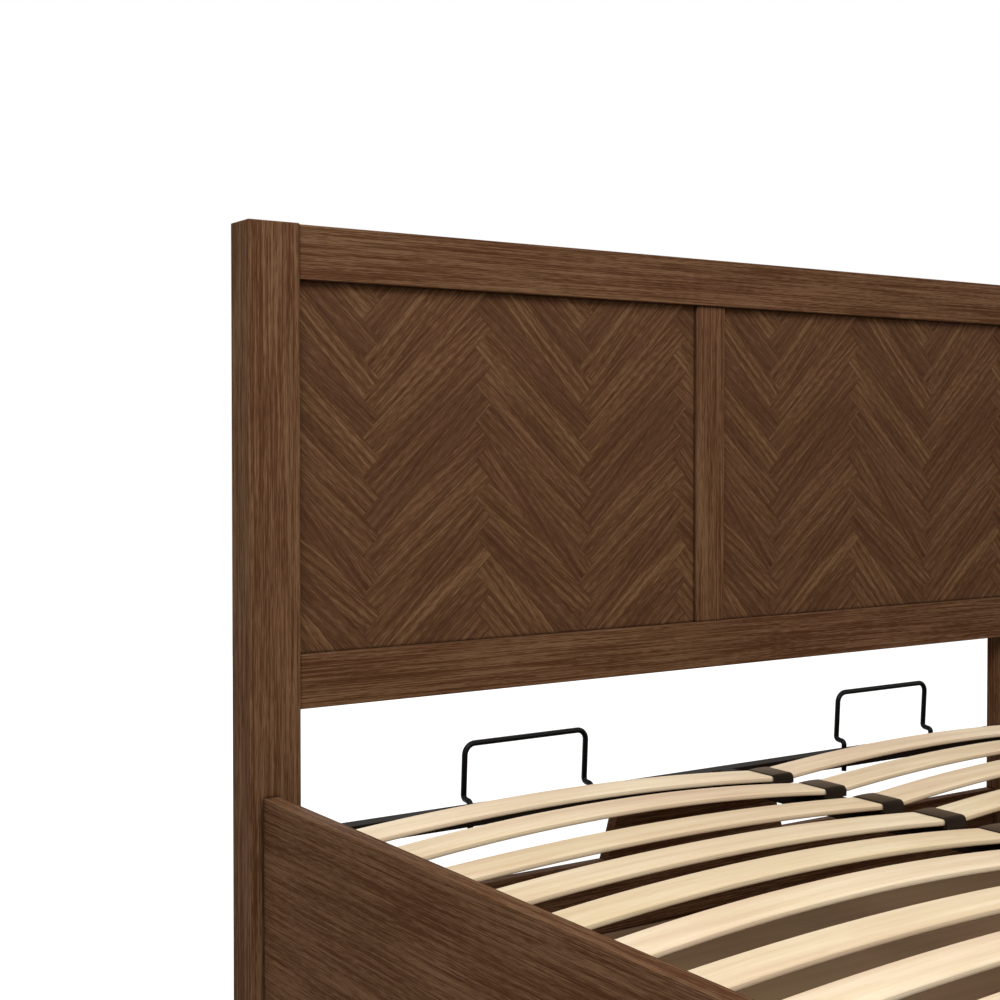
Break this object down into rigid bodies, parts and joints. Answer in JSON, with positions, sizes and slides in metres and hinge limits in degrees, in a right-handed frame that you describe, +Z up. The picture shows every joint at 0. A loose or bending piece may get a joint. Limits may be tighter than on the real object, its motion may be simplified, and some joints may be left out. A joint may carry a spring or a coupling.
{
  "type": "ottoman bed",
  "caption": "Wooden bed with a panelled herringbone headboard and a sprung-slat platform that lifts at the foot on gas struts over a storage box.",
  "frame": {"origin": "on the floor under the middle of the bed's outline", "axes": "+X to the right seen from the foot end, +Y towards the headboard, +Z up"},
  "size_m": [1.505, 2.114, 1.042],
  "materials": {
    "walnut_veneer": "satin stained oak-grain veneer, dark walnut brown",
    "herringbone_veneer": "satin stained veneer laid in a herringbone",
    "birch_slat": "bent birch plywood, light sealed",
    "black_plastic": "moulded, fine texture",
    "black_steel": "black powder coat",
    "chromed_rod": "polished piston rod",
    "fitting_steel": "black powder coat",
    "zinc_fasteners": "zinc plated",
    "buffer_rubber": "plain",
    "storage_floor_board": "brown faced board",
    "pine_batten": "planed pine"
  },
  "bodies": {
    "base": {"left_head_post": "walnut_veneer", "right_head_post": "walnut_veneer", "left_herringbone_panel": "herringbone_veneer", "right_herringbone_panel": "herringbone_veneer", "left_side_rail": "walnut_veneer", "right_side_rail": "walnut_veneer", "left_foot_post": "walnut_veneer", "right_foot_post": "walnut_veneer", "left_hinge_plate": "fitting_steel", "right_hinge_plate": "fitting_steel", "top_rail": "walnut_veneer", "bottom_rail": "walnut_veneer", "centre_mullion": "walnut_veneer", "head_end_board": "walnut_veneer", "foot_board": "walnut_veneer", "floor_glides": "black_plastic", "floor_battens": "pine_batten", "floor_panel_head": "storage_floor_board", "floor_panel_foot": "storage_floor_board", "centre_bearer": "pine_batten", "bearer_feet": "black_plastic", "corner_brackets": "fitting_steel", "platform_rests": "fitting_steel", "rest_buffers": "buffer_rubber", "pivot_pins": "zinc_fasteners"},
    "left_cylinder": {"left_strut_cylinder": "black_steel"},
    "right_cylinder": {"right_strut_cylinder": "black_steel"},
    "left_rod": {"left_strut_rod": "chromed_rod"},
    "right_rod": {"right_strut_rod": "chromed_rod"},
    "lift_platform": {"left_strut_bracket": "black_steel", "right_strut_bracket": "black_steel", "left_side_tubes": "black_steel", "right_side_tubes": "black_steel", "head_tube": "black_steel", "foot_tube": "black_steel", "middle_tubes": "black_steel", "centre_tubes": "black_steel", "centre_caps": "black_plastic", "outer_caps": "black_plastic", "left_retainer": "black_steel", "right_retainer": "black_steel", "slat_row_01": "birch_slat", "slat_row_02": "birch_slat", "slat_row_03": "birch_slat", "slat_row_04": "birch_slat", "slat_row_05": "birch_slat", "slat_row_06": "birch_slat", "slat_row_07": "birch_slat", "slat_row_08": "birch_slat", "slat_row_09": "birch_slat", "slat_row_10": "birch_slat", "slat_row_11": "birch_slat", "slat_row_12": "birch_slat", "slat_row_13": "birch_slat", "slat_row_14": "birch_slat", "slat_row_15": "birch_slat", "slat_row_16": "birch_slat", "slat_row_17": "birch_slat", "slat_row_18": "birch_slat"}
  },
  "joints": [
    {"name": "lift_hinge", "type": "hinge", "parent": "base", "child": "lift_platform", "pos_m": [0, 0.7995, 0.274], "axis": [-1, 0, 0], "range_deg": [0, 38]},
    {"name": "left_cylinder_pivot", "type": "hinge", "parent": "base", "child": "left_cylinder", "pos_m": [-0.691, 0.71643, 0.07029], "axis": [-1, 0, 0], "range_deg": [0, 19]},
    {"name": "left_rod_pivot", "type": "hinge", "parent": "lift_platform", "child": "left_rod", "pos_m": [-0.691, 0.58272, 0.2365], "axis": [-1, 0, 0], "range_deg": [-19, 0]},
    {"name": "right_cylinder_pivot", "type": "hinge", "parent": "base", "child": "right_cylinder", "pos_m": [0.691, 0.71643, 0.07029], "axis": [-1, 0, 0], "range_deg": [0, 19]},
    {"name": "right_rod_pivot", "type": "hinge", "parent": "lift_platform", "child": "right_rod", "pos_m": [0.691, 0.58272, 0.2365], "axis": [-1, 0, 0], "range_deg": [-19, 0]}
  ],
  "couplings": [
    {"joint": "left_cylinder_pivot", "follows": "lift_hinge", "ratio": 0.5},
    {"joint": "left_rod_pivot", "follows": "lift_hinge", "ratio": -0.5},
    {"joint": "right_cylinder_pivot", "follows": "lift_hinge", "ratio": 0.5},
    {"joint": "right_rod_pivot", "follows": "lift_hinge", "ratio": -0.5}
  ]
}
